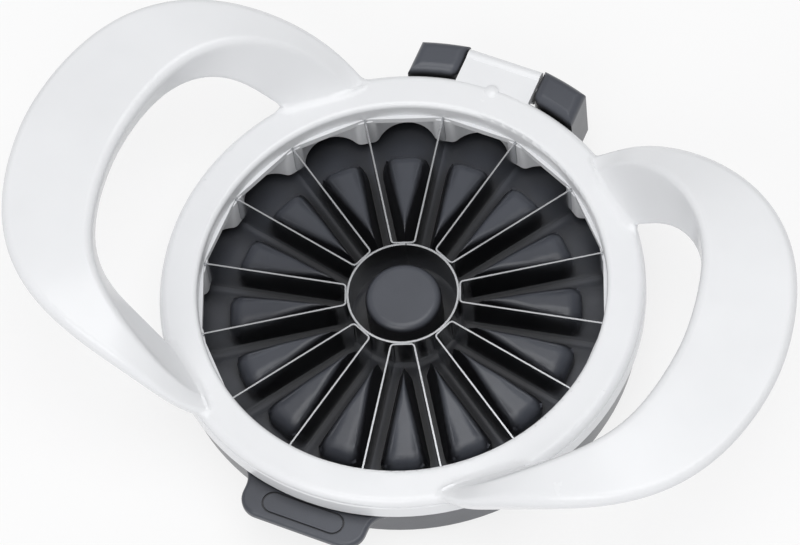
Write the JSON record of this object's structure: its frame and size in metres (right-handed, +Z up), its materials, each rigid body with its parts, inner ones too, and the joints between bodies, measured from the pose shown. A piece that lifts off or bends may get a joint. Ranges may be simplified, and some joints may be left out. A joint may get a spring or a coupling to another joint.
{
  "type": "apple slicer",
  "caption": "Round apple slicer: a white ring with raised loop handles and radial steel blades around a core ring, hinged to a grey base whose pushers drive the slices through.",
  "frame": {"origin": "on the axis of the ring and core, at the plane that the base stands on", "axes": "+Z up along the ring's axis, X along the two handles, +Y towards the hinge, -Y towards the opening tab"},
  "size_m": [0.1966, 0.1351, 0.0471],
  "materials": {
    "white_plastic": "glossy white moulding",
    "white_blade_ring": "glossy white moulding",
    "grey_plastic": "satin dark grey moulding",
    "blade_steel": "ground stainless strip",
    "core_steel": "ground stainless strip",
    "pin_steel": "drawn steel rod"
  },
  "bodies": {
    "base": {"base": "grey_plastic", "hinge_pin": "pin_steel"},
    "frame": {"upper_frame": "white_plastic", "blade_ring": "white_blade_ring", "core_ring": "core_steel", "blade_strip_1": "blade_steel", "blade_strip_2": "blade_steel", "blade_strip_3": "blade_steel", "blade_strip_4": "blade_steel", "blade_strip_5": "blade_steel", "blade_strip_6": "blade_steel", "blade_strip_7": "blade_steel", "blade_strip_8": "blade_steel"}
  },
  "joints": [
    {"name": "frame_hinge", "type": "hinge", "parent": "base", "child": "frame", "pos_m": [0, 0.0638, 0.0195], "axis": [-1, 0, 0], "range_deg": [0, 110]}
  ]
}
